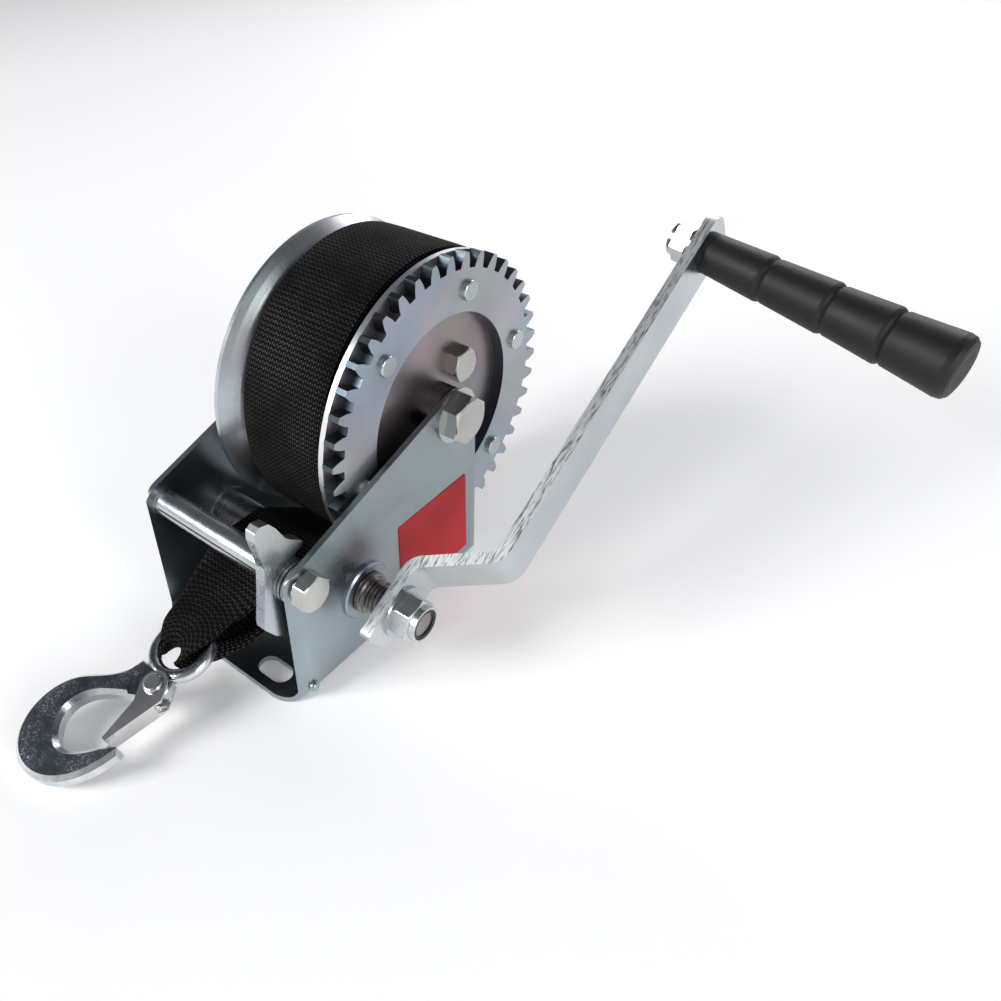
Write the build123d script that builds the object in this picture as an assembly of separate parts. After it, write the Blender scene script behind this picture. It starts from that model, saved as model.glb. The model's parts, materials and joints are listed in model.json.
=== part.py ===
from build123d import *
import math
import os

# Boat trailer winch, millimetres. X runs along the axles towards the crank, the strap leaves
# towards -Y, +Z is up. The origin is the centre of the underside of the base.

os.makedirs("parts", exist_ok=True)

# ---- frame -------------------------------------------------------------------------------
SHEET = 3.0
FRAME_HALF = 49.0                 # outer faces of the side plates
INNER = FRAME_HALF - SHEET
BASE_HALF_LENGTH = 73.5
BEND_RADIUS = 7.0
CORNER_RADIUS = 15.0              # of the base plate, seen from above
SLOT_X, SLOT_Y = 25.5, 62.8       # centres of the mounting slots
SLOT_LENGTH, SLOT_WIDTH = 19.0, 11.0

# ---- axes --------------------------------------------------------------------------------
AXLE_Y, AXLE_Z = 47.0, 100.0
MODULE = 25.4 / 7                 # seven teeth per inch of diameter
GEAR_TEETH, PINION_TEETH = 41, 10
SHIFT = 0.35                      # profile shift: the pinion's teeth are long, the gear's short
CENTRES = MODULE * (GEAR_TEETH + PINION_TEETH) / 2
GEAR_TIP = MODULE * (GEAR_TEETH / 2 + 1 - SHIFT)
GEAR_ROOT = GEAR_TIP - 7.3
PINION_TIP = CENTRES - GEAR_ROOT - 0.5
PINION_ROOT = CENTRES - GEAR_TIP - 0.9
BACKLASH = 0.35                   # taken off every tooth's thickness
PINION_Y = AXLE_Y - 69.3
PINION_Z = AXLE_Z - math.sqrt(CENTRES**2 - 69.3**2)
PAWL_Y, PAWL_Z = -58.3, 68.0

# ---- drum --------------------------------------------------------------------------------
FLANGE_RADIUS = 76.4
ROLL_RADIUS, ROLL_CORE = 75.7, 30.5
ROLL_LEFT, ROLL_RIGHT = -18.4, 32.4
FLANGE_LEFT, FLANGE_RIGHT = -19.4, 33.8
FLANGE_SHEET = 2.8
DISH_START, DISH_DEPTH = 56.0, 13.0
GEAR_INNER_FACE, GEAR_OUTER_FACE = 36.6, 42.6
GEAR_RECESS = 48.6
RIVET_CIRCLE, RIVET_COUNT, RIVET_START = 59.0, 6, 12.0
HUB_RADIUS, SLEEVE_RADIUS, AXLE_RADIUS = 12.25, 9.0, 7.0
ANCHOR_CIRCLE, ANCHOR_ANGLE, ANCHOR_RADIUS = 23.6, 44.0, 5.0
RUNNING_FIT = 0.08                # radial clearance of every turning fit

# ---- pinion shaft and crank --------------------------------------------------------------
PINION_FACES = (36.9, 44.2)
JOURNAL_RADIUS = 10.0
STUB_RADIUS, THREAD_RADIUS = 7.5, 6.0
CRANK_WIDTH, CRANK_SHEET = 25.4, 5.7
HUB_FACE, ARM_FACE = 72.0, 107.5  # outer faces of the two straight runs of the crank bar
CRANK_ANGLE = 29.2                # the bar rises this much towards the back
CRANK_BEND = (19.8, 40.7)         # where the offset starts and ends, from the pinion axis
CRANK_TAIL, CRANK_REACH, CRANK_END = 20.4, 228.7, 246.0
GRIP_LEAN = 10.6                  # the handle leans this much back towards the hub
GRIP_LENGTH = 128.0
FLATS = 4.9                       # half distance across the flats of the crank seat

# ---- pawl --------------------------------------------------------------------------------
PAWL_FACES = (36.9, 42.1)
PIN_RADIUS = 5.0
SPACER_RADIUS = 6.4

# ---- strap and hook ----------------------------------------------------------------------
STRAP_SHEET = 1.8
HOOK_FOOT = (2.0, -164.5, 6.2)    # middle of the bowl's bottom
HOOK_PITCH = 15.0                 # the hook rises this much towards its eye
HOOK_SHEET = 8.8
NECK_SHEET = 6.4
EYE_V, EYE_U, EYE_OUTER, EYE_BAR = -2.4, 73.9, 16.6, 3.3
LATCH_V, LATCH_U = 2.3, 54.1


def yz(x):
    return Plane(origin=(x, 0, 0), x_dir=(0, 1, 0), z_dir=(1, 0, 0))


def rod(x0, x1, radius, y, z, bore=0.0):
    body = extrude(yz(x0) * Pos(y, z) * Circle(radius), x1 - x0)
    if bore:
        body -= extrude(yz(x0 - 1) * Pos(y, z) * Circle(bore), x1 - x0 + 2)
    return body


def hexagon(x0, x1, across, y, z, turn=0.0):
    """A hexagon along X whose far end, at x1, is turned down at the corners."""
    low, high = min(x0, x1), max(x0, x1)
    shape = RegularPolygon(across / 2, 6, major_radius=False)
    body = extrude(yz(low) * Pos(y, z) * Rot(0, 0, turn) * shape, high - low)
    turned = rod(low, high, across * 0.57, y, z)
    end = turned.edges().sort_by(Axis.X)[-1 if x1 > x0 else 0]
    return body & chamfer(end, length=across * 0.05, length2=across * 0.09)


def polygon(points):
    return make_face(Polyline(*points, close=True))


def write(name, *solids):
    shape = solids[0] if len(solids) == 1 else Compound(children=list(solids))
    export_step(shape, f"parts/{name}.step")


# ---- frame -------------------------------------------------------------------------------
def side_outline():
    """The side plate in the YZ plane: a sloping top edge, rounded over the pawl and the axle."""
    front = Pos(PAWL_Y, PAWL_Z) * Circle(10.4)
    crown = Pos(AXLE_Y, AXLE_Z - 1.5) * Circle(13.5)
    slope = math.atan2(AXLE_Z + 1.6 - PAWL_Z, AXLE_Y - PAWL_Y)
    up = (-math.sin(slope), math.cos(slope))
    web = polygon([
        (PAWL_Y - 10.4, -1), (PAWL_Y - 10.4, PAWL_Z), (PAWL_Y + 10.4 * up[0], PAWL_Z + 10.4 * up[1]),
        (AXLE_Y + 13.5 * up[0], AXLE_Z - 1.5 + 13.5 * up[1]), (AXLE_Y + 11.5, AXLE_Z + 5.6),
        (66.0, 90.0), (68.5, -1),
    ])
    return front + crown + web


def make_frame():
    outer = Rectangle(2 * FRAME_HALF, 160)
    outer = Pos(0, 80) * outer
    inner = Pos(0, 80 + SHEET) * Rectangle(2 * INNER, 160)
    channel = extrude(Plane.XZ * (outer - inner), BASE_HALF_LENGTH, both=True)
    long_edges = channel.edges().filter_by(Axis.Y)
    channel = fillet(long_edges.filter_by(lambda e: abs(e.center().Z) < 0.1), BEND_RADIUS)
    long_edges = channel.edges().filter_by(Axis.Y)
    inside = long_edges.filter_by(lambda e: abs(e.center().Z - SHEET) < 0.1)
    channel = fillet(inside, BEND_RADIUS - SHEET)
    plates = extrude(yz(-60) * side_outline(), 120)
    floor_part = Pos(0, 0, BEND_RADIUS / 2) * Box(2 * FRAME_HALF, 2 * BASE_HALF_LENGTH, BEND_RADIUS)
    plan = RectangleRounded(2 * FRAME_HALF, 2 * BASE_HALF_LENGTH, CORNER_RADIUS)
    body = channel & (plates + floor_part) & extrude(plan, 150)
    for x in (-SLOT_X, SLOT_X):
        for y in (-SLOT_Y, SLOT_Y):
            body -= Pos(x, y, 0) * extrude(SlotOverall(SLOT_LENGTH, SLOT_WIDTH), 10, both=True)
    body -= rod(-60, 60, AXLE_RADIUS + 0.2, AXLE_Y, AXLE_Z)
    body -= rod(-60, 60, PIN_RADIUS + 0.2, PAWL_Y, PAWL_Z)
    body -= rod(-60, 60, 12.5, PINION_Y, PINION_Z)
    return body


# ---- drum --------------------------------------------------------------------------------
def tooth_angle(radius, teeth, thickness):
    """Half the angle that an involute tooth takes at a radius, with 20 degree pressure angle."""
    pitch = MODULE * teeth / 2
    base = pitch * math.cos(math.radians(20))
    alpha = math.acos(min(1.0, base / max(radius, base)))
    involute = math.tan(alpha) - alpha
    return thickness / (2 * pitch) + math.tan(math.radians(20)) - math.radians(20) - involute


def gear_outline(teeth, tip, root, shift, root_share, turn):
    """A spur gear's outline; root_share is the tooth's width at its foot against its base width."""
    pitch = MODULE * teeth / 2
    base = pitch * math.cos(math.radians(20))
    thickness = MODULE * (math.pi / 2 + 2 * shift * math.tan(math.radians(20))) - BACKLASH
    low = max(base, root + 0.8)
    radii = [low, (low + pitch) / 2, pitch, (pitch + tip) / 2, tip]
    flank = [(root, tooth_angle(base, teeth, thickness) * root_share)]
    flank += [(r, tooth_angle(r, teeth, thickness)) for r in radii]
    points = []
    for i in range(teeth):
        middle = math.radians(turn) + 2 * math.pi * i / teeth
        side = [(r, middle - a) for r, a in flank] + [(r, middle + a) for r, a in reversed(flank)]
        points += [(r * math.cos(a), r * math.sin(a)) for r, a in side]
    return polygon(points)


def make_gear():
    outline = gear_outline(GEAR_TEETH, GEAR_TIP, GEAR_ROOT, -SHIFT, 1.06, GEAR_TURN)
    ring = outline - Circle(GEAR_RECESS)
    body = extrude(yz(GEAR_INNER_FACE) * Pos(AXLE_Y, AXLE_Z) * ring, GEAR_OUTER_FACE - GEAR_INNER_FACE)
    for y, z in rivet_places():
        body -= rod(GEAR_INNER_FACE - 1, GEAR_OUTER_FACE + 1, 3.0, y, z)
    return body


def rivet_places():
    for i in range(RIVET_COUNT):
        a = math.radians(RIVET_START + 360 * i / RIVET_COUNT)
        yield AXLE_Y + RIVET_CIRCLE * math.cos(a), AXLE_Z + RIVET_CIRCLE * math.sin(a)


def make_rivet(y, z):
    body = rod(FLANGE_RIGHT, GEAR_OUTER_FACE, 3.0, y, z)
    head = rod(GEAR_OUTER_FACE, GEAR_OUTER_FACE + 2.4, 5.0, y, z)
    head = fillet(head.edges().sort_by(Axis.X)[-1], 0.9)
    tail = rod(FLANGE_RIGHT - 1.0, FLANGE_RIGHT, 4.6, y, z)
    return body + head + tail


def anchor_place():
    a = math.radians(ANCHOR_ANGLE)
    return AXLE_Y + ANCHOR_CIRCLE * math.cos(a), AXLE_Z + ANCHOR_CIRCLE * math.sin(a)


def spin(points):
    """Turns a half section given as (x, radius) about the drum's axle."""
    section = Plane(origin=(0, AXLE_Y, AXLE_Z), x_dir=(1, 0, 0), z_dir=(0, -1, 0)) * polygon(points)
    return revolve(section, Axis((0, AXLE_Y, AXLE_Z), (1, 0, 0)), 360)


def make_left_flange():
    """A stamped disc whose outer part flares away from the strap."""
    steps = 8
    dish = []
    for i in range(steps + 1):
        t = i / steps
        radius = DISH_START + (FLANGE_RADIUS - DISH_START) * t
        dish.append((FLANGE_LEFT + 0.8 - DISH_DEPTH * t**1.7, radius))
    inner = [(FLANGE_LEFT + 0.8, HUB_RADIUS)] + dish
    outer = [(x - FLANGE_SHEET + 0.5, r - 0.2 * (r > DISH_START)) for x, r in reversed(dish)]
    outer.append((FLANGE_LEFT + 1.3 - FLANGE_SHEET, HUB_RADIUS))
    body = spin(inner + outer)
    y, z = anchor_place()
    return body - rod(-60, 0, ANCHOR_RADIUS + 0.2, y, z)


def make_right_flange():
    body = spin([
        (FLANGE_RIGHT, HUB_RADIUS), (FLANGE_RIGHT, FLANGE_RADIUS),
        (GEAR_INNER_FACE, FLANGE_RADIUS), (GEAR_INNER_FACE, HUB_RADIUS),
    ])
    y, z = anchor_place()
    body -= rod(20, 60, ANCHOR_RADIUS + 0.2, y, z)
    for y, z in rivet_places():
        body -= rod(20, 60, 3.0, y, z)
    return body


# ---- crank -------------------------------------------------------------------------------
RISE = math.radians(CRANK_ANGLE)
ALONG = Vector(0, math.cos(RISE), math.sin(RISE))
ACROSS = Vector(0, -math.sin(RISE), math.cos(RISE))
SHAFT = Vector(0, PINION_Y, PINION_Z)


def crank_plane():
    return Plane(origin=tuple(SHAFT), x_dir=tuple(ALONG), z_dir=tuple(-ACROSS))


def make_crank():
    """A flat bar bent twice; its two runs are parallel and stand apart along X."""
    middle_hub = HUB_FACE - CRANK_SHEET / 2
    middle_arm = ARM_FACE - CRANK_SHEET / 2
    line = FilletPolyline(
        (-CRANK_TAIL, middle_hub), (CRANK_BEND[0], middle_hub), (CRANK_BEND[1], middle_arm),
        (CRANK_END, middle_arm), radius=9.0,
    )
    section = trace(line, CRANK_SHEET)
    body = extrude(crank_plane() * section, CRANK_WIDTH / 2, both=True)
    side = Plane(origin=tuple(SHAFT), x_dir=tuple(ALONG), z_dir=(1, 0, 0))
    half = CRANK_WIDTH / 2
    outline = polygon([(-CRANK_TAIL, half), (-15.6, -half), (CRANK_END, -half), (CRANK_END, half)])
    ends = outline.vertices().sort_by(Axis.X)
    outline = fillet(ends[2:], 9.0)
    outline = fillet(outline.vertices().sort_by(Axis.X)[1], 10.5)
    outline = fillet(outline.vertices().sort_by(Axis.X)[0], 3.0)
    body &= extrude(side * outline, 160)
    seat = (Circle(THREAD_RADIUS + 0.05) & Rectangle(20, 2 * FLATS + 0.1))
    body -= extrude(side * seat, 160)
    return body - grip_rod(-30, 20, THREAD_RADIUS + 0.1)


def grip_plane(distance=0.0):
    lean = math.radians(GRIP_LEAN)
    axis = Vector(1, 0, 0) * math.cos(lean) - ALONG * math.sin(lean)
    start = SHAFT + ALONG * CRANK_REACH + Vector(ARM_FACE, 0, 0) + axis * distance
    return Plane(origin=tuple(start), x_dir=tuple(ACROSS), z_dir=tuple(axis))


def grip_rod(start, end, radius, bore=0.0):
    body = extrude(grip_plane(start) * Circle(radius), end - start)
    if bore:
        body -= extrude(grip_plane(start - 1) * Circle(bore), end - start + 2)
    return body


GRIP_START = 3.0                  # the handle's inner face, from the arm along the handle
GRIP_GROOVES = (34.8, 68.0, 96.7)
GRIP_SEGMENTS = ((10.5, 11.8), (11.3, 12.8), (12.2, 13.9), (13.2, 15.2))
GRIP_BOLT_HEAD = (108.0, 114.0)
CAP_RADIUS = 8.8


def make_grip():
    """Four segments, each a little wider towards its outer end."""
    stops = (GRIP_START,) + GRIP_GROOVES + (GRIP_LENGTH,)
    bore = THREAD_RADIUS + RUNNING_FIT
    points = [(bore, GRIP_START)]
    for i, (low, high) in enumerate(GRIP_SEGMENTS[:-1]):
        points += [(low, stops[i] + (1.4 if i else 0.0)), (high, stops[i + 1] - 2.6)]
        points += [(high - 0.4, stops[i + 1] - 1.4), (low + 0.1, stops[i + 1])]
    low, high = GRIP_SEGMENTS[-1]
    points += [(low, stops[3] + 1.4), (high, GRIP_LENGTH - 5.0), (high - 0.5, GRIP_LENGTH - 2.2)]
    points += [(high - 2.0, GRIP_LENGTH - 0.6), (high - 4.2, GRIP_LENGTH), (CAP_RADIUS, GRIP_LENGTH)]
    points += [(CAP_RADIUS, GRIP_BOLT_HEAD[0] - 0.4), (bore, GRIP_BOLT_HEAD[0] - 0.4)]
    place = grip_plane()
    section = Plane(origin=tuple(place.origin), x_dir=tuple(place.x_dir), z_dir=tuple(-place.y_dir))
    return revolve(section * polygon(points), Axis(tuple(place.origin), tuple(place.z_dir)), 360)


def make_grip_bolt():
    shank = grip_rod(-19.0, GRIP_BOLT_HEAD[0], THREAD_RADIUS)
    return shank + grip_rod(*GRIP_BOLT_HEAD, CAP_RADIUS - 0.3)


def make_wedge(outside):
    """A wedge washer that lets the leaning bolt sit square on the flat bar."""
    if outside:
        body = grip_rod(-6.0, GRIP_START - 0.3, 10.4, THREAD_RADIUS + 0.15)
        return body & Pos(ARM_FACE + 50, 0, 100) * Box(100, 600, 600)
    body = grip_rod(-8.4, 0.0, 9.5, THREAD_RADIUS + 0.15)
    return body & Pos(ARM_FACE - CRANK_SHEET - 50, 0, 100) * Box(100, 600, 600)


def lock_nut(start, end, collar, across):
    """A self-locking nut along the handle's axis."""
    shape = RegularPolygon(across / 2, 6, major_radius=False)
    body = extrude(grip_plane(start) * shape, end - start)
    body += grip_rod(end, collar, across * 0.46) if collar > end else grip_rod(collar, end, across * 0.46)
    return body


# ---- hook --------------------------------------------------------------------------------
def hook_plane(height=0.0):
    pitch = math.radians(HOOK_PITCH)
    normal = Vector(0, -math.sin(pitch), math.cos(pitch))
    start = Vector(*HOOK_FOOT) + normal * height
    return Plane(origin=tuple(start), x_dir=(1, 0, 0), z_dir=tuple(normal))


HOOK_OUTSIDE = [
    (-13.0, 59.5), (-19.1, 48.6), (-34.4, 36.4), (-40.6, 21.4), (-37.2, 6.0), (-27.6, -3.0), (-13.8, -5.2),
    (2.4, 3.2), (9.6, 14.4), (12.4, 22.6),
]
HOOK_TIP = [(12.4, 22.6), (10.8, 25.2), (7.4, 25.0), (3.4, 21.4)]
HOOK_INSIDE = [
    (3.4, 21.4), (-1.4, 16.2), (-12.0, 11.0), (-19.6, 14.8), (-24.4, 25.0), (-21.3, 33.0), (-11.7, 40.3),
    (-1.0, 45.6), (8.0, 51.0), (8.0, 60.0),
]


def bevel_rims(body, height, size):
    """Chamfers the edges that lie on the flat faces at +height and -height."""
    rims = body.edges().filter_by(lambda e: abs(abs(e.center().Z) - height) < 0.01 and e.length > 5)
    return chamfer(rims, size)


def make_hook():
    """A forged hook: a bevelled flat bowl, a thinner neck and a round eye."""
    half = HOOK_SHEET / 2
    blade = Face(Wire([
        Spline(*HOOK_OUTSIDE), *Polyline(*HOOK_TIP).edges(), Spline(*HOOK_INSIDE),
        Line(HOOK_INSIDE[-1], HOOK_OUTSIDE[0]),
    ]))
    body = bevel_rims(extrude(blade, half, both=True), half, 2.0)
    for side in (1, -1):
        body -= Pos(LATCH_V, LATCH_U, side * (NECK_SHEET / 2 + 10)) * Cylinder(12.4, 20)
        body -= Pos(LATCH_V, LATCH_U + 10, side * (NECK_SHEET / 2 + 10)) * Box(60, 20, 20)
    body += Pos(EYE_V, EYE_U) * Torus(EYE_OUTER - EYE_BAR, EYE_BAR)
    body -= extrude(Pos(LATCH_V, LATCH_U) * Circle(2.5), 20, both=True)
    body -= Pos(LATCH_V, LATCH_U, NECK_SHEET / 2) * Cylinder(5.2, 2 * SPRING_POCKET)
    return hook_plane() * body


LATCH_SIDE = NECK_SHEET / 2 + 0.3
LATCH_SHEET = 1.2
SPRING_POCKET = 2.0


def make_latch():
    """A folded sheet: two ears on the pivot and a blade that closes on the hook's tip."""
    ear = Pos(LATCH_V, LATCH_U) * Circle(6.6)
    blade = polygon([
        (-4.0, 52.0), (0.6, 43.5), (1.8, 24.2), (4.0, 23.9), (8.6, 40.0), (11.6, 50.5), (8.4, 56.6),
    ])
    plate = ear + blade
    body = extrude(Pos(0, 0, LATCH_SIDE) * plate, LATCH_SHEET)
    body += extrude(Pos(0, 0, -LATCH_SIDE) * plate, -LATCH_SHEET)
    web = polygon([
        (4.0, 23.9), (8.6, 40.0), (10.5, 46.6), (9.3, 46.9), (7.4, 40.4), (3.2, 25.2), (1.8, 25.2),
        (1.8, 24.2),
    ])
    body += extrude(web, LATCH_SIDE + LATCH_SHEET, both=True)
    body -= extrude(Pos(LATCH_V, LATCH_U) * Circle(2.5 + RUNNING_FIT), 20, both=True)
    return hook_plane() * body


def make_latch_rivet():
    face = LATCH_SIDE + LATCH_SHEET + 0.2
    body = Cylinder(2.5, 2 * face)
    for side in (1, -1):
        head = Pos(0, 0, side * (face + 0.9)) * Cylinder(4.7, 1.8)
        ends = head.edges().filter_by(GeomType.CIRCLE).sort_by(Axis.Z)
        body += fillet(ends[-1 if side > 0 else 0], 1.4)
    return hook_plane() * (Pos(LATCH_V, LATCH_U) * body)


def make_latch_spring():
    """A torsion spring in the hook's pocket; one leg bears on the inside of the latch's blade."""
    wire, radius = 0.4, 3.7
    base = NECK_SHEET / 2 - SPRING_POCKET + wire + 0.1
    coil = Helix(pitch=2 * wire + 0.1, height=2.2 * wire, radius=radius)
    body = sweep(Plane(origin=coil @ 0, z_dir=coil % 0) * Circle(wire), path=coil)
    return hook_plane() * (Pos(LATCH_V, LATCH_U, base) * body)


# ---- strap -------------------------------------------------------------------------------
def ribbon(stations, sheet):
    """Joins rectangular sections (x centre, y, z, slope in degrees, width) into one closed band."""
    faces = []
    for x, y, z, slope, width in stations:
        a = math.radians(slope)
        place = Plane(origin=(x, y, z), x_dir=(1, 0, 0), z_dir=(0, math.cos(a), math.sin(a)))
        faces.append(place * Rectangle(width, sheet))
    return loft(faces, ruled=True)


BAR_U = EYE_U + EYE_OUTER - EYE_BAR
BAR = hook_plane().from_local_coords(Vector(EYE_V, BAR_U, 0))
BAR_X, BAR_Y, BAR_Z = BAR.X, BAR.Y, BAR.Z


TAIL_RADIUS = ROLL_RADIUS + 0.3 + STRAP_SHEET / 2
SHAFT_RADIUS = JOURNAL_RADIUS + 0.3 + STRAP_SHEET / 2
CROSS = math.degrees(math.asin((TAIL_RADIUS + SHAFT_RADIUS) / CENTRES))
LEAVE = math.degrees(math.atan2(AXLE_Z - PINION_Z, AXLE_Y - PINION_Y)) - CROSS


def make_tail():
    """The free strap: off the roll, over the pinion shaft, under the spacer and down to the hook."""
    stations = []
    for i in range(4):
        slope = LEAVE + 9.0 - 3.0 * i
        a = math.radians(slope - 90)
        y, z = AXLE_Y + TAIL_RADIUS * math.cos(a), AXLE_Z + TAIL_RADIUS * math.sin(a)
        stations.append((7.0 - 0.5 * i, y, z, slope, 49.0))
    for i in range(4):
        slope = LEAVE + 12.0 * i
        a = math.radians(slope + 90)
        y, z = PINION_Y + SHAFT_RADIUS * math.cos(a), PINION_Z + SHAFT_RADIUS * math.sin(a)
        stations.append((1.5 - 0.5 * i, y, z, slope, 49.0))
    stations += [
        (-1.5, -44.0, 49.0, 14.0, 49.0), (-3.0, -60.0, 43.0, 26.0, 47.0), (-5.0, -70.0, 37.8, 26.0, 42.0),
        (BAR_X - 4.0, BAR_Y + 3.0, BAR_Z + 6.5, 12.0, 34.0),
    ]
    return ribbon(stations, STRAP_SHEET)


def make_strap_loop():
    """The doubled end: round the hook's eye bar and back under the strap to the seam."""
    inner, outer = EYE_BAR + 2.2, EYE_BAR + 4.4
    ring = Pos(BAR_Y, BAR_Z) * (Circle(outer) - Circle(inner))
    ring &= Pos(BAR_Y - 10, BAR_Z) * Rectangle(20, 40)
    top = polygon([
        (BAR_Y - 0.1, BAR_Z + inner), (BAR_Y - 0.1, BAR_Z + outer), (BAR_Y + 2.5, BAR_Z + outer),
        (BAR_Y + 2.5, BAR_Z + inner),
    ])
    low = polygon([
        (BAR_Y - 0.1, BAR_Z - inner), (BAR_Y - 0.1, BAR_Z - outer), (BAR_Y + 3.0, BAR_Z - outer + 0.4),
        (BAR_Y + 19.0, BAR_Z + 8.0), (BAR_Y + 30.0, BAR_Z + 14.5), (BAR_Y + 29.0, BAR_Z + 16.2),
        (BAR_Y + 18.0, BAR_Z + 9.8), (BAR_Y + 2.5, BAR_Z - inner + 0.4),
    ])
    return extrude(yz(BAR_X - 5.75) * (ring + top + low), 11.5)


# ---- tooth phase -------------------------------------------------------------------------
MESH_DIRECTION = math.degrees(math.atan2(PINION_Z - AXLE_Z, PINION_Y - AXLE_Y))
GEAR_PITCH, PINION_PITCH = 360 / GEAR_TEETH, 360 / PINION_TEETH
GEAR_TURN = 6.1                   # angle of one tooth of the drum gear
MISMATCH = (MESH_DIRECTION - GEAR_TURN) / GEAR_PITCH
PINION_TURN = MESH_DIRECTION + 180 + PINION_PITCH / 2 + (MISMATCH % 1) * PINION_PITCH


def make_pinion():
    outline = gear_outline(PINION_TEETH, PINION_TIP, PINION_ROOT, SHIFT, 0.8, PINION_TURN)
    ring = outline - Circle(JOURNAL_RADIUS)
    return extrude(yz(PINION_FACES[0]) * Pos(PINION_Y, PINION_Z) * ring, PINION_FACES[1] - PINION_FACES[0])


def make_pinion_shaft():
    body = rod(-51.6, 50.4, JOURNAL_RADIUS, PINION_Y, PINION_Z)
    body += rod(-54.0, -51.6, JOURNAL_RADIUS, PINION_Y, PINION_Z)
    body -= rod(-53.2, -51.9, 30, PINION_Y, PINION_Z, JOURNAL_RADIUS - 0.9)
    body += rod(50.4, HUB_FACE - CRANK_SHEET, STUB_RADIUS, PINION_Y, PINION_Z)
    side = Plane(origin=(HUB_FACE - CRANK_SHEET, PINION_Y, PINION_Z), x_dir=tuple(ALONG), z_dir=(1, 0, 0))
    body += extrude(side * (Circle(THREAD_RADIUS) & Rectangle(20, 2 * FLATS)), CRANK_SHEET)
    return body + rod(HUB_FACE, 84.6, THREAD_RADIUS, PINION_Y, PINION_Z)


def make_bush(side):
    """A flanged bush pressed into a side plate; its flange lies on the outer face."""
    bore = JOURNAL_RADIUS + RUNNING_FIT
    sleeve = rod(INNER - 1.0, FRAME_HALF, 12.5, PINION_Y, PINION_Z, bore)
    rim = rod(FRAME_HALF, FRAME_HALF + 2.0, 14.6, PINION_Y, PINION_Z)
    rim = chamfer(rim.edges().sort_by(Axis.X)[-1], 0.8) - rod(0, 60, bore, PINION_Y, PINION_Z)
    bush = sleeve + rim
    return bush if side > 0 else mirror(bush, Plane.YZ)


def make_circlip():
    ring = Circle(JOURNAL_RADIUS + 2.6) - Circle(JOURNAL_RADIUS - 0.85)
    ring -= Pos(0, -JOURNAL_RADIUS - 2) * Rectangle(4.0, 8)
    return extrude(yz(-53.1) * Pos(PINION_Y, PINION_Z) * ring, 1.1)


def shaft_nut():
    body = hexagon(73.5, 82.6, 19.0, PINION_Y, PINION_Z, turn=12)
    body += rod(82.6, 85.5, 8.7, PINION_Y, PINION_Z)
    body -= rod(70, 90, THREAD_RADIUS, PINION_Y, PINION_Z)
    return body - rod(83.4, 90, 7.6, PINION_Y, PINION_Z)


# ---- pawl --------------------------------------------------------------------------------
PAWL_OUTLINE = [
    (-16.2, 33.0), (-15.6, 37.2), (-12.6, 39.0), (-8.0, 37.6), (-4.6, 33.0), (-0.6, 25.0), (2.2, 22.1),
    (8.6, 17.4), (8.2, 14.8), (2.6, 12.8), (6.0, 8.0), (6.5, -6.5), (-3.0, -9.0), (-3.4, -14.8),
    (-4.9, -24.0), (-8.0, -27.2), (-13.0, -23.4), (-18.4, -15.4), (-18.4, -12.0), (-15.6, 3.0),
    (-13.6, 17.0),
]


def make_pawl():
    outline = fillet(polygon(PAWL_OUTLINE).vertices(), 0.9) + Circle(9.6)
    outline -= Circle(PIN_RADIUS + RUNNING_FIT)
    return extrude(yz(PAWL_FACES[0]) * Pos(PAWL_Y, PAWL_Z) * outline, PAWL_FACES[1] - PAWL_FACES[0])


def make_spacer():
    """A rolled tube between the plates with an open seam that faces the strap's exit."""
    end = PAWL_FACES[0] - 0.2
    tube = rod(-INNER, end, SPACER_RADIUS, PAWL_Y, PAWL_Z, PIN_RADIUS + 0.15)
    tube += rod(-INNER, 2.0 - INNER, SPACER_RADIUS + 0.7, PAWL_Y, PAWL_Z, PIN_RADIUS + 0.15)
    seam = Pos((end + 4 - INNER) / 2, -6.0, 0) * Box(end - 4 + INNER, 8.0, 0.9)
    return tube - Pos(0, PAWL_Y, PAWL_Z) * Rot(-10, 0, 0) * seam


def make_label():
    outline = polygon([(2.9, 10.6), (56.0, 10.6), (55.0, 59.6), (2.9, 58.8)])
    plate = extrude(yz(FRAME_HALF) * fillet(outline.vertices(), 1.0), 0.3)
    return plate


# ---- all nodes ---------------------------------------------------------------------------
write("frame", make_frame())
write("label", make_label())

axle_bolt = rod(-62.6, 50.5, AXLE_RADIUS, AXLE_Y, AXLE_Z)
write("axle_bolt", axle_bolt + hexagon(50.5, 58.5, 22, AXLE_Y, AXLE_Z, 20))
write("axle_washers", rod(49, 50.5, 14, AXLE_Y, AXLE_Z, 7.1), rod(-50.5, -49, 14, AXLE_Y, AXLE_Z, 7.1))
axle_nut = hexagon(-50.5, -59.0, 22, AXLE_Y, AXLE_Z, 5) + rod(-61.6, -59.0, 10.2, AXLE_Y, AXLE_Z)
write("axle_nut", axle_nut - rod(-70, -40, AXLE_RADIUS, AXLE_Y, AXLE_Z))
write("axle_sleeve", rod(-INNER, INNER, SLEEVE_RADIUS, AXLE_Y, AXLE_Z, AXLE_RADIUS + 0.1))

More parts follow.
